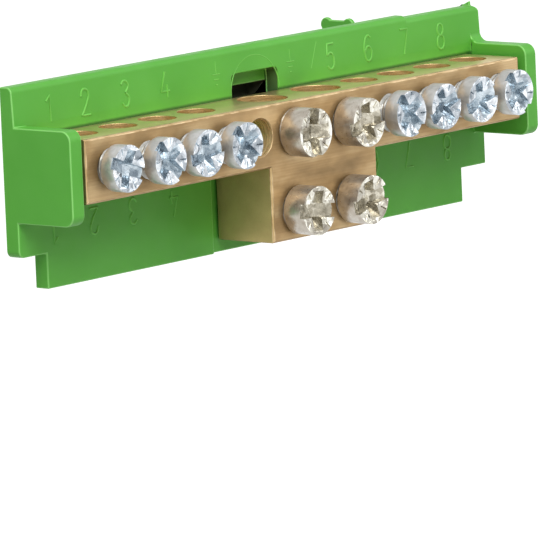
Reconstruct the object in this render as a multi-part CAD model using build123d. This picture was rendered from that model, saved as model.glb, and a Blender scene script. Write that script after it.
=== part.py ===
from build123d import *
import os

# Earth terminal bar: a brass T bar with clamping screws, seated in a moulded carrier
# that plugs into a panel. All lengths are in millimetres.
#
# Frame: the origin is on the axis of the plug foot, midway along its plain part.
# +X runs along the bar to the right of someone facing the screws, +Z is up,
# and +Y points out of the back, the way the panel comes off the foot.

os.makedirs("parts", exist_ok=True)

# Carrier plate and end cheeks
cheek_gap = 1.0              # between each end of the bar and its cheek
plate_thickness = 2.15
plate_above_foot = 5.92      # top edge at the right end, above the foot's axis
plate_height = 25.6
crest_height = 0.33          # the rest of the top edge stands higher by this much
crest_end_x = 31.15
plate_lean = 0.25            # the upper part of the front face leans back by this much
plate_top_radius = 0.8
step_inset = 5.1             # the lower edge stands in from each end by this much
step_height = 4.5
corner_radius = 0.9
cheek_thickness = 2.2
cheek_reach = 9.2            # forward from the plate's front face
cheek_above_bar = 1.43       # cheek's top edge above the bar's top
cheek_height = 12.0
cheek_radius = 1.4
cheek_root_radius = 1.3      # on the right cheek; the left one meets the plate square
cheek_blend = 1.6            # the blended root runs this far up the plate

# Brass T bar
bar_height = 8.15
bar_depth = 8.8
bar_below_foot = 0.2         # the bar's top face lies just under the foot's axis
bar_edge = 0.2
stem_left_margin = 4.75      # the stem's sides beyond the axes of its two entries
stem_right_margin = 5.75
stem_drop = 9.65             # below the bar's lower face
stem_pad = 0.45              # the stem stands back past the bar's rear face
pad_below_top = 1.0
seat_depth = 0.8             # pocket in the plate behind the stem
seat_side_gap = 1.5
seat_top_gap = 0.4

# Spacing of the holes along the bar, from its left end to its right
small_end_margin = 4.5       # last small entry from each end of the bar
small_pitch = 7.5
smalls_per_side = 4
small_to_peg = 6.4
peg_to_large = 6.6
large_spacing = 10.6
large_to_small = 8.8

# Wire entries, bored down through the bar
small_bore_d = 4.9
large_bore_d = 6.5
bore_behind_front = 5.0      # bore axes behind the bar's front face

# Screw holes from the front, at the pitch diameters of their threads
small_hole_d = 4.6
large_hole_d = 5.5
row_drop = 4.0               # upper row of screws below the bar's top
large_lower_drop = 10.0      # between the upper and lower large screws
peg_hole_d = 5.0
peg_radial_gap = 0.05
peg_length = 3.6

# Clamping screws, shown backed off
thread_gap = 0.05            # radial, shank to hole
tip_gap = 0.25               # from the tip to the wire entry
small_head_d = 5.95
small_head_length = 2.05
large_head_d = 6.3
large_head_length = 3.3
small_proud = [3.15, 3.6, 3.35, 3.4, 3.65, 3.4, 3.5, 3.5]
large_proud = [3.77, 3.81, 3.77, 3.85]
small_turn = [-20, -47, 12, -48, -48, 28, 18, -52]
large_turn = [92, 13, -5, 14]

# Drive recess: a slot right across the head, deepening to a cross in its middle
small_slot_width = 1.5
small_slot_rim_depth = 0.6
small_cross_length = 4.9
small_cross_depth = 1.5
large_slot_width = 1.8
large_slot_rim_depth = 0.75
large_cross_length = 5.2
large_cross_depth = 2.0
cross_floor_share = 0.5      # length of the cross at its floor, of that at its mouth

# Plug foot behind the middle of the plate, and the window that opens into it
block_width = 12.0
block_above_axis = 4.6
block_below_axis = 6.0
block_depth = 4.05           # from the plate's back to the shoulder
foot_d = 9.3
foot_plain_length = 3.4
foot_chamfer = 0.5
window_width = 9.2
window_above_axis = 2.8
window_below_axis = 5.0
window_depth = 2.0
window_radius = 0.7
pocket_width = 7.8
pocket_offset = 0.5
pocket_above_axis = 1.0
pocket_below_axis = 4.2
pocket_floor = 0.9

# Lugs on the back that key the carrier in its panel
key_x = 22.6
key_width = 0.6
key_length = 5.5
key_height = 3.4
key_above_top = 0.83
key_lobe_d = 1.8
key_neck_drop = 0.3
key_root_drop = 0.3          # its root lies this far below the plate's top edge
nib_inset = 0.5              # from the plate's right end
nib_width = 0.4
nib_length = 1.3
nib_above_top = 0.62
nib_drop = 1.1
nib_height = 2.4

overrun = 1.0                # how far a cutter runs past what it cuts
half_share = 0.5

# Planes derived from the sizes above
side_length = small_end_margin + small_pitch * (smalls_per_side - 1)
bar_length = 2 * side_length + small_to_peg + peg_to_large + large_spacing + large_to_small
carrier_length = bar_length + 2 * (cheek_gap + cheek_thickness)
shoulder_y = -foot_plain_length * half_share
plate_back_y = shoulder_y - block_depth
plate_front_y = plate_back_y - plate_thickness
bar_front_y = plate_front_y - bar_depth
cheek_front_y = plate_front_y - cheek_reach
plate_top_z = plate_above_foot
plate_bottom_z = plate_top_z - plate_height
bar_top_z = -bar_below_foot
bar_bottom_z = bar_top_z - bar_height
row_z = bar_top_z - row_drop
stem_bottom_z = bar_bottom_z - stem_drop
lower_screw_z = row_z - large_lower_drop
cheek_top_z = bar_top_z + cheek_above_bar
cheek_bottom_z = cheek_top_z - cheek_height
crest_z = plate_top_z + crest_height
bore_y = bar_front_y + bore_behind_front
half_carrier = carrier_length * half_share
half_bar = bar_length * half_share

small_outer_x = half_bar - small_end_margin
small_xs = [-small_outer_x + small_pitch * i for i in range(smalls_per_side)]
small_xs += [small_outer_x - small_pitch * i for i in range(smalls_per_side)][::-1]
peg_x = small_xs[smalls_per_side - 1] + small_to_peg
large_xs = [peg_x + peg_to_large, peg_x + peg_to_large + large_spacing]
stem_left_x = large_xs[0] - stem_left_margin
stem_right_x = large_xs[1] + stem_right_margin


def outline(points, corner=None, radius=0):
    """A closed face from (u, v) points; the corners named by index are rounded."""
    with BuildSketch() as s:
        with BuildLine():
            Polyline(*points, close=True)
        make_face()
        if corner:
            picked = []
            for i in corner:
                u, v = points[i]
                picked.append(min(s.vertices(), key=lambda p: (p.X - u) ** 2 + (p.Y - v) ** 2))
            fillet(picked, radius)
    return s.sketch


def front_prism(face, y_front, y_back):
    """A face drawn in X and Z, standing between two depths."""
    plane = Plane(origin=(0, y_front, 0), x_dir=(1, 0, 0), z_dir=(0, -1, 0))
    return extrude(plane * face, amount=-(y_back - y_front))


def side_prism(face, x_left, x_right):
    """A face drawn in Y and Z, running from x_left to x_right."""
    plane = Plane(origin=(x_left, 0, 0), x_dir=(0, 1, 0), z_dir=(1, 0, 0))
    return extrude(plane * face, amount=x_right - x_left)


def rect_points(u0, u1, v0, v1):
    return [(u0, v0), (u1, v0), (u1, v1), (u0, v1)]


def rod_y(x, z, radius, y_front, y_back):
    """A round rod along Y."""
    plane = Plane(origin=(x, y_front, z), x_dir=(1, 0, 0), z_dir=(0, 1, 0))
    return extrude(plane * Circle(radius), amount=y_back - y_front)


def rod_z(x, y, radius, z_low, z_high):
    """A round rod along Z."""
    return extrude(Plane(origin=(x, y, z_low)) * Circle(radius), amount=z_high - z_low)


def terminal_bar():
    """The T bar: one drawn section, bored for wires from above and for screws from the front."""
    left = stem_left_x
    right = stem_right_x
    tee = [
        (-half_bar, bar_top_z), (-half_bar, bar_bottom_z), (left, bar_bottom_z),
        (left, stem_bottom_z), (right, stem_bottom_z), (right, bar_bottom_z),
        (half_bar, bar_bottom_z), (half_bar, bar_top_z),
    ]
    body = front_prism(outline(tee), bar_front_y, plate_front_y)
    rim = body.faces().sort_by(Axis.Y)[0].edges()
    body = chamfer(rim, bar_edge)
    pad = rect_points(left, right, stem_bottom_z, bar_top_z - pad_below_top)
    body += front_prism(outline(pad), plate_front_y - overrun, plate_front_y + stem_pad)
    for x in small_xs:
        body -= rod_z(x, bore_y, small_bore_d / 2, bar_bottom_z - overrun, bar_top_z + overrun)
        body -= rod_y(x, row_z, small_hole_d / 2, bar_front_y - overrun, bore_y)
    for x in large_xs:
        body -= rod_z(x, bore_y, large_bore_d / 2, stem_bottom_z - overrun, bar_top_z + overrun)
        for z in (row_z, lower_screw_z):
            body -= rod_y(x, z, large_hole_d / 2, bar_front_y - overrun, bore_y)
    body -= rod_y(peg_x, row_z, peg_hole_d / 2, bar_front_y - overrun, plate_front_y + overrun)
    return body


def drive_recess(slot_width, rim_depth, cross_length, cross_depth, head_d, y_front):
    """A cross in the face of a head on the Y axis, with one pair of its wings run out as a slot."""
    mouth = cross_length / 2
    floor = mouth * cross_floor_share
    floor_y = y_front + cross_depth
    across = head_d / 2
    rim_y = y_front + rim_depth
    short = [
        (y_front - overrun, -mouth), (y_front, -mouth), (floor_y, -floor),
        (floor_y, floor), (y_front, mouth), (y_front - overrun, mouth),
    ]
    long = [
        (-across - overrun, y_front - overrun), (across + overrun, y_front - overrun),
        (across + overrun, rim_y), (across, rim_y), (floor, floor_y),
        (-floor, floor_y), (-across, rim_y), (-across - overrun, rim_y),
    ]
    wings = side_prism(outline(short), -slot_width / 2, slot_width / 2)
    slot = extrude(Plane.XY * outline(long), amount=slot_width / 2, both=True)
    return wings + slot


def clamp_screw(x, z, turn, proud, sizes):
    """A headed clamping screw, standing proud of the bar and stopping short of the wire bore."""
    head_d, head_length, hole_d, bore_d = sizes["body"]
    front = bar_front_y - proud
    under_head = front + head_length
    tip = bore_y - bore_d / 2 - tip_gap
    head = rod_y(0, 0, head_d / 2, front, under_head)
    head -= drive_recess(*sizes["recess"], head_d, front)
    shank = rod_y(0, 0, hole_d / 2 - thread_gap, under_head, tip)
    screw = (head + shank).rotate(Axis.Y, -turn)
    return Pos(x, 0, z) * screw


small_sizes = {
    "body": (small_head_d, small_head_length, small_hole_d, small_bore_d),
    "recess": (small_slot_width, small_slot_rim_depth, small_cross_length, small_cross_depth),
}
large_sizes = {
    "body": (large_head_d, large_head_length, large_hole_d, large_bore_d),
    "recess": (large_slot_width, large_slot_rim_depth, large_cross_length, large_cross_depth),
}


def wall_y(z):
    """The depth of the plate's front face, which leans back above the cheeks."""
    return plate_front_y + plate_lean * (z - cheek_top_z) / (crest_z - cheek_top_z)


def plate_run(top, x_left, x_right):
    """A run of the plate: its end section, with the leaning upper face and rounded top edge."""
    section = [
        (plate_back_y, plate_bottom_z), (plate_back_y, top), (wall_y(top), top),
        (plate_front_y, cheek_top_z), (plate_front_y, plate_bottom_z),
    ]
    return side_prism(outline(section, [2], plate_top_radius), x_left, x_right)


def plate():
    """The plate: two runs of one section, cut to the elevation with stepped lower corners."""
    body = plate_run(crest_z, -half_carrier, crest_end_x)
    body += plate_run(plate_top_z, crest_end_x, half_carrier)
    step_top = plate_bottom_z + step_height
    foot = half_carrier - step_inset
    elevation = [
        (-half_carrier, crest_z + overrun), (-half_carrier, step_top), (-foot, step_top),
        (-foot, plate_bottom_z), (foot, plate_bottom_z), (foot, step_top),
        (half_carrier, step_top), (half_carrier, plate_top_z), (crest_end_x, plate_top_z),
        (crest_end_x, crest_z + overrun),
    ]
    face = outline(elevation, [1, 7], corner_radius)
    return body & front_prism(face, plate_front_y - overrun, plate_back_y + overrun)


def cheek(x_left, x_right, root_radius):
    """An end cheek with rounded front corners. A root radius above zero blends its top into the plate."""
    back = plate_back_y
    section = [
        (back, cheek_bottom_z), (cheek_front_y, cheek_bottom_z), (cheek_front_y, cheek_top_z),
        (back, cheek_top_z),
    ]
    body = side_prism(outline(section, [1, 2], cheek_radius), x_left, x_right)
    if root_radius > 0:
        blend_z = cheek_top_z + cheek_blend
        blend = [
            (back, cheek_bottom_z), (plate_front_y - cheek_blend, cheek_bottom_z),
            (plate_front_y - cheek_blend, cheek_top_z), (plate_front_y, cheek_top_z),
            (wall_y(blend_z), blend_z), (back, blend_z),
        ]
        body += side_prism(outline(blend, [3], root_radius), x_left, x_right)
    return body


def foot_block():
    """The block behind the window, and the round plug foot on it."""
    half = block_width / 2
    face = rect_points(-half, half, -block_below_axis, block_above_axis)
    body = front_prism(outline(face), plate_back_y - plate_thickness * half_share, shoulder_y)
    foot = rod_y(0, 0, foot_d / 2, shoulder_y, shoulder_y + foot_plain_length + foot_chamfer)
    return body + chamfer(foot.faces().sort_by(Axis.Y)[-1].edges(), foot_chamfer)


def window():
    """The opening above the bar: a shallow recess with a deeper, blind pocket in its floor."""
    half = window_width / 2
    recess = rect_points(-half, half, -window_below_axis, window_above_axis)
    recess_floor = plate_front_y + window_depth
    cut = front_prism(outline(recess, [2, 3], window_radius), plate_front_y - overrun, recess_floor)
    left = pocket_offset - pocket_width / 2
    right = pocket_offset + pocket_width / 2
    pocket = rect_points(left, right, -pocket_below_axis, pocket_above_axis)
    cut += front_prism(outline(pocket), recess_floor - overrun, shoulder_y - pocket_floor)
    return cut


def back_lugs():
    """The dog-bone key and the corner nib along the top of the back."""
    top = plate_top_z + key_above_top
    lobe = key_lobe_d / 2
    y_near = plate_back_y + lobe
    y_far = plate_back_y + key_length - lobe
    root = plate_back_y - plate_thickness * half_share
    foot = plate_top_z - key_height
    profile = outline(rect_points(root, y_far, foot, plate_top_z - key_root_drop))
    profile += outline(rect_points(y_near, y_far, foot, top - key_neck_drop))
    profile += Pos(y_near, top - lobe) * Circle(lobe)
    profile += Pos(y_far, top - lobe) * Circle(lobe)
    lugs = side_prism(profile, key_x, key_x + key_width)
    peak = plate_top_z + nib_above_top
    wedge = [
        (root, plate_top_z - nib_height), (plate_back_y, plate_top_z - nib_height),
        (plate_back_y + nib_length, peak - nib_drop), (root, peak),
    ]
    right = half_carrier - nib_inset
    lugs += side_prism(outline(wedge), right - nib_width, right)
    return lugs


def carrier():
    """The moulded carrier, with the seat for the stem and the peg that enters the bar."""
    body = plate()
    body += cheek(-half_carrier, -half_carrier + cheek_thickness, 0)
    body += cheek(half_carrier - cheek_thickness, half_carrier, cheek_root_radius)
    body += foot_block()
    body += back_lugs()
    left = stem_left_x - seat_side_gap
    right = stem_right_x + seat_side_gap
    seat = rect_points(left, right, plate_bottom_z - overrun, bar_top_z - pad_below_top + seat_top_gap)
    body -= front_prism(outline(seat), plate_front_y - overrun, plate_front_y + seat_depth)
    body -= window()
    body += rod_y(peg_x, row_z, peg_hole_d / 2 - peg_radial_gap,
                  plate_front_y - peg_length, plate_back_y)
    return body


def save(shape, name):
    shape.label = name
    export_step(shape, f"parts/{name}.step")
    solids = shape.solids()
    print(name, len(solids), round(sum(s.volume for s in solids), 2), shape.is_valid)


save(carrier(), "carrier")
save(terminal_bar(), "terminal_bar")
for i, x in enumerate(small_xs):
    save(clamp_screw(x, row_z, small_turn[i], small_proud[i], small_sizes), f"small_screw_{i + 1}")
places = [(x, z) for z in (row_z, lower_screw_z) for x in large_xs]
for i, (x, z) in enumerate(places):
    save(clamp_screw(x, z, large_turn[i], large_proud[i], large_sizes), f"large_screw_{i + 1}")
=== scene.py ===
import math

import bmesh
import bpy
from mathutils import Matrix, Vector


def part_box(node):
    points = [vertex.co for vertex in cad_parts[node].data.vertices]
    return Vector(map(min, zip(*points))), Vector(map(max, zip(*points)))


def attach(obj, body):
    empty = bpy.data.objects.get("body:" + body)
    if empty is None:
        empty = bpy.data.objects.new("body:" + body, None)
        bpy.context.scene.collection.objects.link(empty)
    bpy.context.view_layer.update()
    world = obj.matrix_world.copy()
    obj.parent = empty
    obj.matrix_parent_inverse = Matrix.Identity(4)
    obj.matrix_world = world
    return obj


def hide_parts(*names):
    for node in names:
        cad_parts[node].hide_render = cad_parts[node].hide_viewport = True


# Earth terminal bar: a brass T bar with clamping screws in a green moulded carrier.
# Shapes are made in millimetres, in the frame of the CAD, and scaled to metres at the end.

MM = 0.001
TO_MM = 1000.0

# Camera, solved from the photograph, in millimetres
PHOTO_SIZE = 540                       # pixels each way
AXIS_BELOW_TOP = 145                   # pixel row that the optical axis meets
SENSOR = 36.0
LENS = 538.99
CAMERA_PLACE = (-782.269, -675.971, 128.685)
CAMERA_RIGHT = (0.643418, -0.764339, -0.042413)
CAMERA_UP = (0.12713, 0.052054, 0.990519)
CAMERA_BACK = (-0.754885, -0.64271, 0.130663)
CAMERA_CLIP = (0.01, 50.0)             # metres

# Light and floor, in metres and watts
AMBIENT = 0.18
SKY_TINT = (0.97, 0.98, 1.0)
LIGHTS = (                             # name, place, size and power
    ("key", (-0.68, -0.78, 1.08), (1.5, 1.1), 30.0),
    ("side", (0.9, -0.7, 0.5), (0.6, 0.8), 3.0),
)
LIGHT_AIM = (0, -0.012, -0.005)
FLOOR_Z = -0.12
FLOOR_SIZE = 3.0
FLOOR_SHADE = 0.6
FLOOR_LIFT = 0.75                      # what the floor adds of its own where it is seen
FLOOR_FADE = (0.5, 1.6)                # from the middle outwards, until the floor looks plain white

# Screws. A head's face is at y = 0, and its depths run back from there.
SMALL_TURNS = (-20, -47, 12, -48, -48, 28, 18, -52)   # degrees
LARGE_TURNS = (92, 13, -5, 14)
SMALL_SCREW = {
    "head_r": 2.975, "head": 2.05, "slot": 1.5, "rim_depth": 0.42, "cross_r": 2.45,
    "cross_depth": 1.5, "cone_r": 1.4, "cone_floor_r": 0.5,
    "thread_r": 2.5, "thread_root": 2.15, "pitch": 0.8, "tick_r": (1.9, 2.85),
}
LARGE_SCREW = {
    "head_r": 3.15, "head": 3.3, "slot": 1.8, "rim_depth": 0.6, "cross_r": 2.6,
    "cross_depth": 2.0, "cone_r": 1.6, "cone_floor_r": 0.6,
    "thread_r": 3.0, "thread_root": 2.55, "pitch": 1.0, "tick_r": (2.05, 3.0),
}
CUTTER_RUN = 0.5                       # how far in front of the face a cutter starts
WING_DEEPER = 0.01                     # the short cutter's floor and walls keep clear of the slot's
WING_WIDTH_SHARE = 0.99
CROSS_FLOOR_SHARE = 0.5                # reach of the cross's deep floor, as a share of its wings
DISH_RIM = 0.2                         # width of the flat rim round the dished face
DISH_DEPTH = 0.4
DISH_CENTRE_SHARE = 0.6                # the dish's flat centre, as a share of the cone's radius
TICK_HALF_WIDTH = 0.14
TICK_FLOOR_HALF_WIDTH = 0.03
TICK_Y = (-0.05, 0.3)                  # start and floor
HEAD_ROUNDING = 0.06
HEAD_ROUNDED_ANGLE = 28                # degrees; sharper edges are rounded
HEAD_SMOOTH_ANGLE = 30                 # degrees; sharper edges aren't shaded smooth
LAND_FACING = -0.85                    # lands face -Y at least this much
SHANK_SINK = 0.02                      # how far the shank starts inside the head
RIDGE_SLOPE = 2.6                      # how steeply the thread's ridge rises, and where it flattens
RIDGE_LIFT = 1.25
HEAD_SIDES = 96
CONE_SIDES = 48
THREAD_SIDES = 64
ROWS_PER_TURN = 12

# The carrier's and the bar's edges, with angles in degrees
CARRIER_ROUNDING = 0.15
BAR_ROUNDING = 0.07
ROUNDING_STEPS = 3
MERGED_WITHIN = 2e-3                   # points this near to each other become one
JOINED_ANGLE = 0.6                     # facets this near to flat become one face
ROUNDED_ANGLE = 35                     # edges sharper than this are rounded
SHARP_ANGLE = 1                        # the edge between two wide faces isn't shaded smooth above this
WIDE_FACE = 15.0                       # square millimetres
CREST_END_HALF = 0.3                   # edges this near to the crest's end aren't rounded
CREST_END_DROP = 1.5
ON_SURFACE = 0.02                      # a face this near to a surface counts as on it
WALL_FACING = 0.5                      # a hole's wall faces along its axis less than this

# Marks on the plate: the middle of each figure, from 1 to 8
UPPER_MARKS = ((-39.5, 2.83), (-32.75, 2.82), (-25.17, 2.93), (-17.5, 3.1),
               (15.29, 2.8), (22.99, 2.95), (30.44, 2.95), (38.03, 2.75))
LOWER_MARKS = ((-39.74, -12.5), (-32.28, -12.3), (-24.73, -12.05), (-16.9, -12.15),
               (16.0, -12.1), (23.2, -12.1), (30.51, -11.95), (38.42, -12.05))
MARK_HALF_HEIGHT = 1.65
MARK_WIDTH = 1.7
MARK_STROKE = 0.17                     # radius of a stroke's round section
MARK_SINK = 0.05                       # how far its middle lies behind the plate's face
SIGNS = (("earth", -7.5, 3.2), ("earth", 7.2, 3.1), ("slant", 12.0, 3.4))
SIGN_STROKE = MARK_STROKE * 0.55
RING_STROKE = MARK_STROKE * 0.45
RING_DEGREES = range(5, 176, 17)
PLATE_FOOT_Z = 1.23                    # the leaning part of the plate's face starts here
PLATE_LEAN = 0.25
PLATE_TOP_Z = 6.25
PLATE_FRONT_Y = -7.9
FOOT_RING_R = 4.85                     # the faint ring round the window
CREST_END_X = 31.15

# Places that take a material of their own. A bore has an x and a radius, and the peg hole x, z and radius.
BORE_Y = -11.7
BORES = ((-38.7, 2.45), (-31.2, 2.45), (-23.7, 2.45), (-16.2, 2.45), (-3.2, 3.25), (7.4, 3.25),
         (16.2, 2.45), (23.7, 2.45), (31.2, 2.45), (38.7, 2.45))
PEG_HOLE = (-9.8, -4.2, 2.5)
POCKET_BOX = ((-3.6, -5.8, -4.4), (4.6, -2.4, 1.1))
RECESS_BOX = ((-4.7, -7.75, -5.1), (4.7, -5.95, 2.9))
WINDOW_RIM_BOX = ((-4.3, -8.0, -0.5), (5.0, -7.6, 3.1))  # top and right edges, which get no painted edge highlight
CHEEK_ROOT_BOX = ((44.0, -8.4, -8.6), (46.3, -7.6, 1.6))
BAR_TOP_Z = -0.2
BAR_HALF_LENGTH = 45.2

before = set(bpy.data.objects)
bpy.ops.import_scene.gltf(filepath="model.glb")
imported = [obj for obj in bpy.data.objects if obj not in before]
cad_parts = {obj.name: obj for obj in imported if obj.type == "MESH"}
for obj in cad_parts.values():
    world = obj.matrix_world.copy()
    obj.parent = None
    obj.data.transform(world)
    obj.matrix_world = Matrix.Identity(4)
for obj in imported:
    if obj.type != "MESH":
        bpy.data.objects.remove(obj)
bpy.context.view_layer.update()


def plain_object(name, mesh):
    item = bpy.data.objects.new(name, mesh)
    bpy.context.scene.collection.objects.link(item)
    return item


def applied(item):
    """Bakes an object's modifiers into its mesh."""
    graph = bpy.context.evaluated_depsgraph_get()
    mesh = bpy.data.meshes.new_from_object(item.evaluated_get(graph))
    item.modifiers.clear()
    old = item.data
    item.data = mesh
    bpy.data.meshes.remove(old)


def from_bmesh(name, bm):
    mesh = bpy.data.meshes.new(name)
    bm.normal_update()
    bm.to_mesh(mesh)
    bm.free()
    return plain_object(name, mesh)


# Materials

# Painted shade for a thin band of the wall along the top of the bar
BAR_CONTACT_SHADE = (0.03, 0.12, 0.015)
BRASS_LINES = (0.30, 0.185, 0.078)
# Painted shade for the bar's edges where they face down
DOWNWARD_EDGE_SHADE = (0.15, 0.10, 0.045)


class Finish:
    """A material under construction: its node tree, and short ways to add nodes to it."""

    def __init__(self, name):
        self.material = bpy.data.materials.new(name)
        self.material.use_nodes = True
        self.tree = self.material.node_tree
        self.shader = self.tree.nodes["Principled BSDF"]
        coords = self.add("ShaderNodeTexCoord")
        scale = self.add("ShaderNodeVectorMath", operation="SCALE")
        scale.inputs["Scale"].default_value = TO_MM
        self.link(coords.outputs["Object"], scale.inputs[0])
        self.place = scale.outputs["Vector"]

    def add(self, kind, **settings):
        node = self.tree.nodes.new(kind)
        for key, value in settings.items():
            setattr(node, key, value)
        return node

    def link(self, out, into):
        self.tree.links.new(out, into)

    def set(self, **values):
        for key, value in values.items():
            self.shader.inputs[key.replace("_", " ")].default_value = value

    def noise(self, scale, stretch=(1, 1, 1), detail=2.0, roughness=0.5, distortion=0.0):
        """Noise with its grain in millimetres; stretch above 1 packs it tighter along that axis."""
        mapping = self.add("ShaderNodeVectorMath", operation="MULTIPLY")
        mapping.inputs[1].default_value = stretch
        self.link(self.place, mapping.inputs[0])
        node = self.add("ShaderNodeTexNoise")
        node.inputs["Scale"].default_value = scale
        node.inputs["Detail"].default_value = detail
        node.inputs["Roughness"].default_value = roughness
        node.inputs["Distortion"].default_value = distortion
        self.link(mapping.outputs["Vector"], node.inputs["Vector"])
        return node.outputs["Fac"]

    def ramp(self, value, stops):
        node = self.add("ShaderNodeValToRGB")
        while len(node.color_ramp.elements) < len(stops):
            node.color_ramp.elements.new(0.5)
        for element, (position, color) in zip(node.color_ramp.elements, stops):
            element.position = position
            element.color = (*color, 1)
        self.link(value, node.inputs["Fac"])
        return node.outputs["Color"]

    def levels(self, value, low, high, out_low, out_high):
        node = self.add("ShaderNodeMapRange")
        node.inputs["From Min"].default_value = low
        node.inputs["From Max"].default_value = high
        node.inputs["To Min"].default_value = out_low
        node.inputs["To Max"].default_value = out_high
        self.link(value, node.inputs["Value"])
        return node.outputs["Result"]

    def mix(self, factor, a, b):
        node = self.add("ShaderNodeMix", data_type="RGBA")
        self.link(factor, node.inputs["Factor"])
        for value, socket in ((a, node.inputs[6]), (b, node.inputs[7])):
            if hasattr(value, "links"):
                self.link(value, socket)
            else:
                socket.default_value = (*value, 1)
        return node.outputs[2]

    def math(self, operation, a, b=0.0):
        node = self.add("ShaderNodeMath", operation=operation)
        for value, socket in ((a, node.inputs[0]), (b, node.inputs[1])):
            if hasattr(value, "links"):
                self.link(value, socket)
            else:
                socket.default_value = value
        return node.outputs[0]

    def band(self, value, middle, half, soft):
        """1 within half of the middle, and 0 once soft further out."""
        away = self.math("ABSOLUTE", self.math("SUBTRACT", value, middle))
        return self.levels(away, half, half + soft, 1.0, 0.0)

    def facing(self, axis):
        """How far the surface faces along a world axis, from -1 to 1."""
        geometry = self.add("ShaderNodeNewGeometry")
        parts = self.add("ShaderNodeSeparateXYZ")
        self.link(geometry.outputs["Normal"], parts.inputs[0])
        return parts.outputs[axis]

    def bump(self, height, strength, distance, under=None):
        node = self.add("ShaderNodeBump")
        node.inputs["Strength"].default_value = strength
        node.inputs["Distance"].default_value = distance * MM
        self.link(height, node.inputs["Height"])
        if under is not None:
            self.link(under, node.inputs["Normal"])
        return node.outputs["Normal"]

    def color(self, out):
        self.link(out, self.shader.inputs["Base Color"])

    def roughness(self, out):
        self.link(out, self.shader.inputs["Roughness"])

    def normal(self, out):
        self.link(out, self.shader.inputs["Normal"])


def green_plastic(name, dark, light, shaded_at_bar=False):
    """Moulded green plastic. It can carry a thin band of painted shade on the wall along the top of the
    bar, where the bar meets it.
    """
    f = Finish(name)
    f.set(IOR=1.45, Specular_IOR_Level=0.25, Subsurface_Weight=0.1, Subsurface_Scale=0.001)
    f.shader.inputs["Subsurface Radius"].default_value = (0.6, 1.0, 0.35)
    color = f.ramp(f.noise(0.09, detail=3.0), [(0.3, dark), (0.7, light)])
    # Painted shade: a thin band of the wall along the top of the bar is darkened
    if shaded_at_bar:
        spot = f.add("ShaderNodeSeparateXYZ")
        f.link(f.place, spot.inputs[0])
        along = f.band(spot.outputs["X"], 0.0, BAR_HALF_LENGTH, 0.2)
        behind = f.band(spot.outputs["Y"], PLATE_FRONT_Y, 0.08, 0.08)
        above = f.band(spot.outputs["Z"], BAR_TOP_Z, 0.18, 0.25)
        contact_shade = f.math("MULTIPLY", f.math("MULTIPLY", along, behind), above)
        color = f.mix(contact_shade, color, BAR_CONTACT_SHADE)
    f.color(color)
    f.roughness(f.levels(f.noise(0.5, detail=4.0), 0.3, 0.7, 0.36, 0.5))
    waves = f.bump(f.noise(0.2, stretch=(1, 1, 1.6)), 0.2, 0.12)
    f.normal(f.bump(f.noise(5.0, detail=3.0), 0.1, 0.02, waves))
    return f.material


# A dark finish: painted shade for the deep pocket behind the window
def pocket_painted_shade():
    f = Finish("pocket_painted_shade")
    f.set(IOR=1.3)
    f.color(f.ramp(f.noise(0.4), [(0.3, (0.11, 0.12, 0.075)), (0.7, (0.16, 0.17, 0.11))]))
    f.roughness(f.levels(f.noise(2.0), 0.3, 0.7, 0.6, 0.8))
    return f.material


def brass():
    """Drawn brass, streaked and dark in front. Its colour carries painted light: lighter where it faces -X
    and brightest on top, which is also smoothest.
    """
    f = Finish("brass")
    cloud = f.noise(0.22, stretch=(0.6, 1, 1.3), detail=4.0)
    front_stops = [(0.3, (0.25, 0.165, 0.075)), (0.5, (0.42, 0.28, 0.13)), (0.68, (0.56, 0.41, 0.22))]
    lit_side_stops = [(0.3, (0.48, 0.37, 0.165)), (0.7, (0.58, 0.45, 0.21))]
    lit_top_stops = [(0.3, (0.76, 0.55, 0.29)), (0.7, (0.90, 0.68, 0.42))]
    lines = f.noise(1.0, stretch=(0.05, 4.0, 4.0), detail=4.0, roughness=0.6)
    front = f.mix(f.levels(lines, 0.4, 0.75, 0.0, 0.35), f.ramp(cloud, front_stops), BRASS_LINES)
    top = f.levels(f.facing("Z"), 0.6, 0.9, 0.0, 1.0)
    side = f.levels(f.facing("X"), -0.6, -0.9, 0.0, 1.0)
    f.link(f.levels(f.facing("Y"), -0.9, -0.6, 0.72, 1.0), f.shader.inputs["Metallic"])
    # Painted light: the colour turns lighter facing -X and on top, by the surface's facing
    sided = f.mix(side, front, f.ramp(cloud, lit_side_stops))
    f.color(f.mix(top, sided, f.ramp(cloud, lit_top_stops)))
    rough = f.mix(side, f.levels(lines, 0.3, 0.7, 0.44, 0.6), f.levels(lines, 0.3, 0.7, 0.48, 0.6))
    f.roughness(f.mix(top, rough, f.levels(lines, 0.3, 0.7, 0.28, 0.4)))
    drawn = f.bump(lines, 0.3, 0.03)
    f.normal(f.bump(f.noise(0.5, detail=2.0), 0.15, 0.03, drawn))
    return f.material


def edge_highlight_brass():
    """Edges painted bright as a highlight, and painted darker where they face down, as shade."""
    f = Finish("edge_highlight_brass")
    f.set(Metallic=1.0)
    edge_glint = f.ramp(f.noise(0.7, detail=3.0), [(0.38, (0.30, 0.205, 0.095)), (0.66, (0.59, 0.45, 0.27))])
    down = f.levels(f.facing("Z"), -0.2, -0.5, 0.0, 1.0)
    f.color(f.mix(down, edge_glint, DOWNWARD_EDGE_SHADE))
    f.roughness(f.levels(f.noise(2.0), 0.3, 0.7, 0.36, 0.52))
    return f.material


def bored_brass(name, stretch, dark, light):
    """The wall of a drilled hole, with faint tool marks packed tight along its axis."""
    f = Finish(name)
    f.set(Metallic=0.65)
    rings = f.noise(1.2, stretch=stretch, detail=3.0)
    f.color(f.ramp(rings, [(0.3, dark), (0.7, light)]))
    f.roughness(f.levels(rings, 0.3, 0.7, 0.22, 0.34))
    f.normal(f.bump(rings, 0.25, 0.05))
    return f.material


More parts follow.
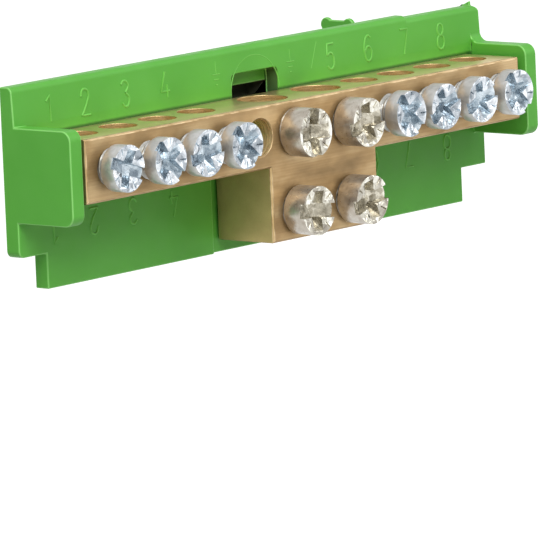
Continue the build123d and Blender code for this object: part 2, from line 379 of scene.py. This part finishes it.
def plating(name, middle, dark, light, rough, wave=0.05, facet=0.0, metallic=1.0):
    """Plated metal: clouds from dark to light over shallow dents, with facets where facet is above 0."""
    f = Finish(name)
    f.set(Metallic=metallic)
    cloud = f.noise(0.9, detail=3.0, distortion=0.8)
    f.roughness(f.levels(f.noise(3.0, detail=4.0), 0.3, 0.7, rough, rough + 0.14))
    under = None
    if facet > 0:
        cells = f.add("ShaderNodeTexVoronoi", feature="F1", distance="CHEBYCHEV")
        cells.inputs["Scale"].default_value = 1.0
        f.link(f.place, cells.inputs["Vector"])
        under = f.bump(cells.outputs["Distance"], 1.0, facet)
        shade = f.levels(cells.outputs["Color"], 0.2, 0.8, 0.25, 0.75)
        cloud = f.mix(f.levels(cloud, 0.0, 1.0, 0.35, 0.65), cloud, shade)
    f.color(f.ramp(cloud, [(0.32, dark), (0.5, middle), (0.68, light)]))
    f.normal(f.bump(f.noise(1.1, detail=2.0), 0.35, wave, under))
    return f.material


GREEN = green_plastic("green_plastic", (0.084, 0.347, 0.038), (0.103, 0.394, 0.051), shaded_at_bar=True)
# A lighter copy of the green for the raised figures and signs: a painted highlight on their strokes
RAISED_HIGHLIGHT_GREEN = green_plastic("raised_highlight_green", (0.125, 0.44, 0.06), (0.15, 0.48, 0.08))
# A lighter copy of the green: a painted highlight on the carrier's rounded edges
EDGE_HIGHLIGHT_GREEN = green_plastic("edge_highlight_green", (0.17, 0.50, 0.10), (0.24, 0.58, 0.16))
# A darker copy of the green: painted shade for the window's recess
SHADED_RECESS_GREEN = green_plastic("recess_green_painted_shade", (0.06, 0.12, 0.04), (0.08, 0.16, 0.05))
POCKET = pocket_painted_shade()
BRASS = brass()
EDGE_HIGHLIGHT_BRASS = edge_highlight_brass()
BORED_BRASS = bored_brass("bored_brass", (0.4, 0.4, 3.0), (0.60, 0.40, 0.16), (0.76, 0.55, 0.27))
# The peg hole's wall is painted lighter than the bores' walls: painted light falling into the hole
LIT_PEG_BRASS = bored_brass("peg_brass_painted_light", (0.4, 3.0, 0.4), (0.72, 0.50, 0.24), (0.90, 0.72, 0.44))

CARRIER_MATERIALS = (GREEN, POCKET, SHADED_RECESS_GREEN, EDGE_HIGHLIGHT_GREEN)
# The window's pocket and recess take painted shade. Its top and right rim and the cheek root keep the plain
# green, without the painted edge highlight.
CARRIER_PLACES = (
    (WINDOW_RIM_BOX, GREEN), (CHEEK_ROOT_BOX, GREEN), (POCKET_BOX, POCKET), (RECESS_BOX, SHADED_RECESS_GREEN),
)
BAR_MATERIALS = (BRASS, BORED_BRASS, LIT_PEG_BRASS, EDGE_HIGHLIGHT_BRASS)

# Each kind of screw has four materials, in this order
SIDE_FACES, LAND_FACES, RECESS_FACES, THREAD_FACES = range(4)
SIDE = {"wave": 0.02}
LAND = {"rough": 0.16, "wave": 0.08, "facet": 0.24, "metallic": 0.95}
# The recess copies are darker than the lands: painted shade inside the recess
RECESS = {"wave": 0.1, "facet": 0.16, "metallic": 0.82}
# The thread copies are darker than the sides: painted shade under the head
THREAD = {"rough": 0.45}
ZINC = (
    plating("zinc_side", (0.46, 0.46, 0.44), (0.39, 0.39, 0.37), (0.53, 0.53, 0.52),
            rough=0.3, metallic=0.65, **SIDE),
    plating("zinc_face", (0.49, 0.53, 0.57), (0.22, 0.25, 0.28), (0.84, 0.87, 0.90), **LAND),
    plating("zinc_recess_shade", (0.38, 0.45, 0.50), (0.17, 0.21, 0.25), (0.66, 0.73, 0.78), rough=0.2, **RECESS),
    plating("zinc_thread_shade", (0.34, 0.34, 0.32), (0.24, 0.24, 0.22), (0.40, 0.40, 0.40), **THREAD),
)
NICKEL = (
    plating("nickel_side", (0.46, 0.42, 0.36), (0.38, 0.34, 0.28), (0.53, 0.50, 0.44),
            rough=0.26, metallic=0.8, **SIDE),
    plating("nickel_face", (0.57, 0.55, 0.47), (0.26, 0.23, 0.19), (0.88, 0.87, 0.80), **LAND),
    plating("nickel_recess_shade", (0.46, 0.425, 0.34), (0.21, 0.19, 0.14), (0.74, 0.71, 0.61),
            rough=0.22, **RECESS),
    plating("nickel_thread_shade", (0.34, 0.31, 0.26), (0.24, 0.22, 0.18), (0.42, 0.39, 0.34), **THREAD),
)


# Carrier and bar: the CAD meshes with their edges rounded


def inside(spot, low, high):
    return all(a < v < b for a, v, b in zip(low, spot, high))


def softened(node, name, width, materials):
    """A CAD node's shape with its flat faces joined up and its edges rounded. It takes the node's place,
    which is hidden.

    The first material is for the faces, and the last for the rounded edges.
    """
    bm = bmesh.new()
    bm.from_mesh(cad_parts[node].data)
    bmesh.ops.scale(bm, vec=(TO_MM,) * 3, verts=bm.verts)
    bmesh.ops.remove_doubles(bm, verts=bm.verts, dist=MERGED_WITHIN)
    bmesh.ops.dissolve_limit(
        bm, angle_limit=math.radians(JOINED_ANGLE), verts=bm.verts, edges=bm.edges,
        use_dissolve_boundaries=False,
    )
    weights = bm.edges.layers.float.new("bevel_weight_edge")
    for edge in bm.edges:
        angle = edge.calc_face_angle(0.0)
        middle = (edge.verts[0].co + edge.verts[1].co) / 2
        near_end = abs(middle.x - CREST_END_X) < CREST_END_HALF
        at_crest_end = near_end and middle.z > PLATE_TOP_Z - CREST_END_DROP
        if angle > math.radians(ROUNDED_ANGLE) and not at_crest_end:
            edge[weights] = 1.0
        wide = min((face.calc_area() for face in edge.link_faces), default=0.0) > WIDE_FACE
        if wide and angle > math.radians(SHARP_ANGLE):
            edge.smooth = False
    item = from_bmesh(name, bm)
    item.data.materials.clear()
    for material in materials:
        item.data.materials.append(material)
    for face in item.data.polygons:
        face.use_smooth = True
        face.material_index = 0
    bevel = item.modifiers.new("edges", "BEVEL")
    bevel.width = width
    bevel.segments = ROUNDING_STEPS
    bevel.limit_method = "WEIGHT"
    bevel.use_clamp_overlap = False
    bevel.material = len(materials) - 1
    weigh = item.modifiers.new("normals", "WEIGHTED_NORMAL")
    weigh.keep_sharp = True
    weigh.weight = 80
    applied(item)
    item.data.transform(Matrix.Scale(MM, 4))
    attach(item, "root")
    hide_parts(node)
    return item


def make_carrier():
    item = softened("carrier", "carrier_body", CARRIER_ROUNDING, CARRIER_MATERIALS)
    for face in item.data.polygons:
        spot = [v * TO_MM for v in face.center]
        for box, material in CARRIER_PLACES:
            if inside(spot, *box):
                face.material_index = CARRIER_MATERIALS.index(material)


def make_bar():
    item = softened("terminal_bar", "bar_body", BAR_ROUNDING, BAR_MATERIALS)
    peg_x, peg_z, peg_r = PEG_HOLE
    for face in item.data.polygons:
        x, y, z = (v * TO_MM for v in face.center)
        for bore_x, radius in BORES:
            near = math.hypot(x - bore_x, y - BORE_Y) < radius + ON_SURFACE
            if near and abs(face.normal.z) < WALL_FACING:
                face.material_index = BAR_MATERIALS.index(BORED_BRASS)
        near = math.hypot(x - peg_x, z - peg_z) < peg_r + ON_SURFACE
        if near and abs(face.normal.y) < WALL_FACING:
            face.material_index = BAR_MATERIALS.index(LIT_PEG_BRASS)


# Figures and signs moulded on the plate, as strokes in a cell from -1 to 1 each way.
# A stroke is straight runs, or a smooth curve or closed loop through its points.

FIGURES = {
    "1": [("runs", [(-0.7, 0.55), (0.1, 1.0), (0.1, -1.0)])],
    "2": [("curve", [(-0.95, 0.45), (-0.55, 0.92), (0.1, 0.98), (0.75, 0.6), (0.45, 0.05), (-0.9, -1.0)]),
          ("runs", [(-0.9, -1.0), (0.95, -1.0)])],
    "3": [("curve", [(-0.8, 0.72), (-0.1, 1.0), (0.75, 0.6), (0.1, 0.08)]),
          ("curve", [(0.1, 0.08), (0.85, -0.42), (0.1, -1.0), (-0.8, -0.68)])],
    "4": [("runs", [(0.15, 1.0), (-0.95, -0.5), (0.95, -0.5)]), ("runs", [(0.45, 0.0), (0.45, -1.0)])],
    "5": [("runs", [(0.8, 1.0), (-0.65, 1.0), (-0.75, 0.12)]),
          ("curve", [(-0.75, 0.12), (0.1, 0.28), (0.85, -0.35), (0.1, -1.0), (-0.85, -0.7)])],
    "6": [("curve", [(0.7, 0.82), (0.05, 1.0), (-0.7, 0.5), (-0.85, -0.35), (0.0, -1.0), (0.85, -0.4),
                     (0.05, 0.15), (-0.75, -0.2)])],
    "7": [("runs", [(-0.9, 1.0), (0.9, 1.0), (-0.1, -1.0)])],
    "8": [("loop", [(0.0, 1.0), (0.66, 0.56), (0.0, 0.1), (-0.66, 0.56)]),
          ("loop", [(0.0, 0.1), (0.82, -0.45), (0.0, -1.0), (-0.82, -0.45)])],
    "earth": [("runs", [(0.0, 1.0), (0.0, 0.0)]), ("runs", [(-0.9, 0.0), (0.9, 0.0)]),
              ("runs", [(-0.55, -0.4), (0.55, -0.4)]), ("runs", [(-0.22, -0.8), (0.22, -0.8)])],
    "slant": [("runs", [(-0.82, -1.0), (0.82, 1.0)])],
}


def plate_face_y(z):
    """Depth of the plate's front face at a height, in millimetres."""
    share = min(max((z - PLATE_FOOT_Z) / (PLATE_TOP_Z - PLATE_FOOT_Z), 0.0), 1.0)
    return PLATE_FRONT_Y + PLATE_LEAN * share


def stroke_curve(name, radius):
    curve = bpy.data.curves.new(name, "CURVE")
    curve.dimensions = "3D"
    curve.bevel_depth = radius * MM
    curve.bevel_resolution = 3
    curve.resolution_u = 8
    curve.use_fill_caps = True
    curve.materials.append(RAISED_HIGHLIGHT_GREEN)
    return curve


def add_stroke(curve, kind, points):
    spline = curve.splines.new("BEZIER")
    spline.bezier_points.add(len(points) - 1)
    for point, place in zip(spline.bezier_points, points):
        point.co = Vector(place) * MM
        handle = "VECTOR" if kind == "runs" else "AUTO"
        point.handle_left_type = handle
        point.handle_right_type = handle
    spline.use_cyclic_u = kind == "loop"


def add_mark(curve, mark, x, z, upside_down=False):
    turn = -1 if upside_down else 1
    for kind, points in FIGURES[mark]:
        placed = []
        for u, v in points:
            across = x + turn * u * MARK_WIDTH / 2
            up = z + turn * v * MARK_HALF_HEIGHT
            placed.append((across, plate_face_y(up) + MARK_SINK, up))
        add_stroke(curve, kind, placed)


def marks_piece(name, curve):
    item = plain_object(name, curve)
    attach(item, "root")


def make_marks():
    upper = stroke_curve("upper_figures", MARK_STROKE)
    lower = stroke_curve("lower_figures", MARK_STROKE)
    for i, (high, low) in enumerate(zip(UPPER_MARKS, LOWER_MARKS)):
        add_mark(upper, str(i + 1), *high)
        add_mark(lower, str(i + 1), *low, upside_down=True)
    marks_piece("upper_figures", upper)
    marks_piece("lower_figures", lower)
    signs = stroke_curve("entry_signs", SIGN_STROKE)
    for sign in SIGNS:
        add_mark(signs, *sign)
    marks_piece("entry_signs", signs)
    ring = stroke_curve("foot_ring", RING_STROKE)
    points = []
    for degrees in RING_DEGREES:
        a = math.radians(degrees)
        z = FOOT_RING_R * math.sin(a)
        points.append((FOOT_RING_R * math.cos(a), plate_face_y(z) + MARK_SINK, z))
    add_stroke(ring, "curve", points)
    marks_piece("foot_ring", ring)


# Screws


def closed(bm, rings):
    """Joins rings of points into a closed solid."""
    for lower, upper in zip(rings, rings[1:]):
        for i in range(len(lower)):
            j = (i + 1) % len(lower)
            bm.faces.new((lower[i], upper[i], upper[j], lower[j]))
    bm.faces.new(rings[0])
    bm.faces.new(reversed(rings[-1]))
    bmesh.ops.recalc_face_normals(bm, faces=bm.faces)
    return bm


def disc_column(sections, sides=HEAD_SIDES):
    """A closed solid of revolution about Y from (y, radius) sections."""
    bm = bmesh.new()
    rings = []
    for y, radius in sections:
        ring = []
        for i in range(sides):
            a = 2 * math.pi * i / sides
            ring.append(bm.verts.new((radius * math.cos(a), y, radius * math.sin(a))))
        rings.append(ring)
    return closed(bm, rings)


def block(outlines):
    """A closed solid from its front and back outlines, given as two lists of points."""
    bm = bmesh.new()
    front, back = ([bm.verts.new(p) for p in outline] for outline in outlines)
    n = len(front)
    for i in range(n):
        j = (i + 1) % n
        bm.faces.new((front[i], front[j], back[j], back[i]))
    bm.faces.new(reversed(front))
    bm.faces.new(back)
    bmesh.ops.recalc_face_normals(bm, faces=bm.faces)
    return bm


def groove(half_length):
    """A cutter for a tick along X, narrower at its floor."""
    end = half_length
    outlines = []
    for half, y in zip((TICK_HALF_WIDTH, TICK_FLOOR_HALF_WIDTH), TICK_Y):
        outlines.append([(-end, y, -half), (end, y, -half), (end, y, half), (-end, y, half)])
    return block(outlines)


def cut(target, cutter_bm):
    cutter = from_bmesh("cutter", cutter_bm)
    boolean = target.modifiers.new("cut", "BOOLEAN")
    boolean.operation = "DIFFERENCE"
    boolean.solver = "EXACT"
    boolean.object = cutter
    applied(target)
    bpy.data.objects.remove(cutter)


def channel(profile, half_width, turn):
    """A cutter with its section drawn in X and Y, run to each side in Z and turned about Y."""
    c, s = math.cos(turn), math.sin(turn)
    ends = [[(x * c - z * s, y, x * s + z * c) for x, y in profile] for z in (-half_width, half_width)]
    return block(ends)


def screw_head(s):
    """The head, facing -Y, with its dished face, slot, cross, cone and the four ticks between wings."""
    head = from_bmesh("head", disc_column([(0, s["head_r"]), (s["head"], s["head_r"])]))
    run = CUTTER_RUN
    dish_r = s["head_r"] - DISH_RIM
    dish_centre_r = s["cone_r"] * DISH_CENTRE_SHARE
    slope = (dish_r - dish_centre_r) / DISH_DEPTH
    cut(head, disc_column([(-run, dish_r + run * slope), (DISH_DEPTH, dish_centre_r)]))
    across, rim, deep = s["head_r"], s["rim_depth"], s["cross_depth"]
    floor = s["cross_r"] * CROSS_FLOOR_SHARE
    half = s["slot"] / 2
    long = [(-across - run, -run), (across + run, -run), (across + run, rim), (across, rim), (floor, deep),
            (-floor, deep), (-across, rim), (-across - run, rim)]
    cut(head, channel(long, half, 0.0))
    wing = s["cross_r"]
    wing_deep = deep + WING_DEEPER
    short = [(-wing, -run), (wing, -run), (wing, 0), (floor, wing_deep), (-floor, wing_deep), (-wing, 0)]
    cut(head, channel(short, half * WING_WIDTH_SHARE, math.pi / 2))
    grow = run / deep * (s["cone_r"] - s["cone_floor_r"])
    cone = [(-run, s["cone_r"] + grow), (deep, s["cone_floor_r"])]
    cut(head, disc_column(cone, CONE_SIDES))
    inner, outer = s["tick_r"]
    for quarter in range(4):
        a = math.pi / 4 + quarter * math.pi / 2
        tick = groove((outer - inner) / 2)
        bmesh.ops.translate(tick, vec=((outer + inner) / 2, 0, 0), verts=tick.verts)
        bmesh.ops.rotate(tick, cent=(0, 0, 0), matrix=Matrix.Rotation(a, 3, "Y"), verts=tick.verts)
        cut(head, tick)
    return head


def thread(s, start, end):
    """A shank with a helical ridge, from under the head to the tip."""
    bm = bmesh.new()
    rows = max(int((end - start) / s["pitch"] * ROWS_PER_TURN), 4)
    rings = []
    for row in range(rows + 1):
        y = start + (end - start) * row / rows
        ring = []
        for i in range(THREAD_SIDES):
            turn = i / THREAD_SIDES
            phase = ((y - start) / s["pitch"] + turn) % 1.0
            ridge = max(0.0, 1.0 - abs(phase - 0.5) * RIDGE_SLOPE)
            height = (s["thread_r"] - s["thread_root"]) * min(ridge * RIDGE_LIFT, 1.0)
            radius = s["thread_root"] + height
            a = 2 * math.pi * turn
            ring.append(bm.verts.new((radius * math.cos(a), y, radius * math.sin(a))))
        rings.append(ring)
    return from_bmesh("thread", closed(bm, rings))


def make_head_mesh(s):
    """The finished head, with its faces marked as sides, lands or recess."""
    head = screw_head(s)
    bevel = head.modifiers.new("edges", "BEVEL")
    bevel.width = HEAD_ROUNDING
    bevel.segments = 2
    bevel.limit_method = "ANGLE"
    bevel.angle_limit = math.radians(HEAD_ROUNDED_ANGLE)
    bevel.use_clamp_overlap = True
    applied(head)
    for _ in range(3):
        head.data.materials.append(None)
    for face in head.data.polygons:
        spot = face.center
        if math.hypot(spot.x, spot.z) > s["head_r"] - ON_SURFACE or spot.y > s["head"] - ON_SURFACE:
            face.material_index = SIDE_FACES
        elif face.normal.y < LAND_FACING and spot.y < DISH_DEPTH:
            face.material_index = LAND_FACES
        else:
            face.material_index = RECESS_FACES
    return head


def make_screw(node, s, head, turn, materials):
    low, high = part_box(node)
    front = low.y * TO_MM
    tip = high.y * TO_MM
    shank = thread(s, s["head"] - SHANK_SINK, tip - front)
    for _ in range(4):
        shank.data.materials.append(None)
    for face in shank.data.polygons:
        face.material_index = THREAD_FACES
    bm = bmesh.new()
    bm.from_mesh(head.data)
    bm.from_mesh(shank.data)
    bpy.data.objects.remove(shank)
    bmesh.ops.rotate(
        bm, cent=(0, 0, 0), matrix=Matrix.Rotation(-math.radians(turn), 3, "Y"), verts=bm.verts
    )
    middle = ((low.x + high.x) / 2 * TO_MM, front, (low.z + high.z) / 2 * TO_MM)
    bmesh.ops.translate(bm, vec=middle, verts=bm.verts)
    bmesh.ops.scale(bm, vec=(MM,) * 3, verts=bm.verts)
    item = from_bmesh(f"{node}_turned", bm)
    for material in materials:
        item.data.materials.append(material)
    for face in item.data.polygons:
        face.use_smooth = True
    item.data.set_sharp_from_angle(angle=math.radians(HEAD_SMOOTH_ANGLE))
    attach(item, "root")
    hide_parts(node)


def make_screws():
    for kind, turns, s, materials in (
        ("small_screw", SMALL_TURNS, SMALL_SCREW, ZINC),
        ("large_screw", LARGE_TURNS, LARGE_SCREW, NICKEL),
    ):
        head = make_head_mesh(s)
        for i, turn in enumerate(turns):
            make_screw(f"{kind}_{i + 1}", s, head, turn, materials)
        bpy.data.objects.remove(head)


# Camera, light and floor


def make_camera():
    data = bpy.data.cameras.new("camera")
    data.sensor_width = SENSOR
    data.lens = LENS
    data.clip_start, data.clip_end = CAMERA_CLIP
    data.shift_y = -(PHOTO_SIZE / 2 - AXIS_BELOW_TOP) / PHOTO_SIZE
    camera = plain_object("camera", data)
    turn = Matrix((CAMERA_RIGHT, CAMERA_UP, CAMERA_BACK)).transposed().to_4x4()
    camera.matrix_world = Matrix.Translation(Vector(CAMERA_PLACE) * MM) @ turn
    bpy.context.scene.camera = camera


def area_light(name, place, size, power):
    data = bpy.data.lights.new(name, "AREA")
    data.shape = "RECTANGLE"
    data.size, data.size_y = size
    data.energy = power
    item = plain_object(name, data)
    item.location = place
    aim = Vector(LIGHT_AIM) - Vector(place)
    item.rotation_euler = aim.to_track_quat("-Z", "Y").to_euler()


def seen_by_eye(tree):
    """1 for camera, glossy and transmission rays, and 0 for the rest."""
    path = tree.nodes.new("ShaderNodeLightPath")
    total = path.outputs["Is Camera Ray"]
    for name in ("Is Glossy Ray", "Is Transmission Ray"):
        node = tree.nodes.new("ShaderNodeMath")
        node.operation = "MAXIMUM"
        tree.links.new(total, node.inputs[0])
        tree.links.new(path.outputs[name], node.inputs[1])
        total = node.outputs[0]
    return total


def make_world():
    world = bpy.data.worlds.new("studio")
    world.use_nodes = True
    tree = world.node_tree
    lit = tree.nodes["Background"]
    lit.inputs["Color"].default_value = (*SKY_TINT, 1)
    lit.inputs["Strength"].default_value = AMBIENT
    white = tree.nodes.new("ShaderNodeBackground")
    white.inputs["Color"].default_value = (1, 1, 1, 1)
    white.inputs["Strength"].default_value = 1.0
    mix = tree.nodes.new("ShaderNodeMixShader")
    tree.links.new(seen_by_eye(tree), mix.inputs[0])
    tree.links.new(lit.outputs[0], mix.inputs[1])
    tree.links.new(white.outputs[0], mix.inputs[2])
    tree.links.new(mix.outputs[0], tree.nodes["World Output"].inputs["Surface"])
    bpy.context.scene.world = world


def make_floor():
    """A pale floor. It looks white where nothing shades it, and keeps the object's shadow."""
    bm = bmesh.new()
    bmesh.ops.create_grid(bm, x_segments=1, y_segments=1, size=FLOOR_SIZE)
    floor = from_bmesh("floor", bm)
    floor.location = (0, 0, FLOOR_Z)
    material = bpy.data.materials.new("pale_floor")
    material.use_nodes = True
    tree = material.node_tree
    plain = tree.nodes["Principled BSDF"]
    plain.inputs["Base Color"].default_value = (FLOOR_SHADE, FLOOR_SHADE, FLOOR_SHADE, 1)
    plain.inputs["Roughness"].default_value = 0.9
    plain.inputs["Specular IOR Level"].default_value = 0.0
    plain.inputs["Emission Color"].default_value = (1, 1, 1, 1)
    coords = tree.nodes.new("ShaderNodeTexCoord")
    away = tree.nodes.new("ShaderNodeVectorMath")
    away.operation = "LENGTH"
    tree.links.new(coords.outputs["Object"], away.inputs[0])
    fade = tree.nodes.new("ShaderNodeMapRange")
    fade.inputs["From Min"].default_value, fade.inputs["From Max"].default_value = FLOOR_FADE
    fade.inputs["To Min"].default_value = FLOOR_LIFT
    fade.inputs["To Max"].default_value = 1.0
    tree.links.new(away.outputs["Value"], fade.inputs["Value"])
    lift = tree.nodes.new("ShaderNodeMath")
    lift.operation = "MULTIPLY"
    tree.links.new(seen_by_eye(tree), lift.inputs[0])
    tree.links.new(fade.outputs["Result"], lift.inputs[1])
    tree.links.new(lift.outputs[0], plain.inputs["Emission Strength"])
    floor.data.materials.append(material)


bpy.context.scene.view_settings.view_transform = "Standard"
make_camera()
make_world()
make_floor()
for light in LIGHTS:
    area_light(*light)
make_carrier()
make_bar()
make_marks()
make_screws()
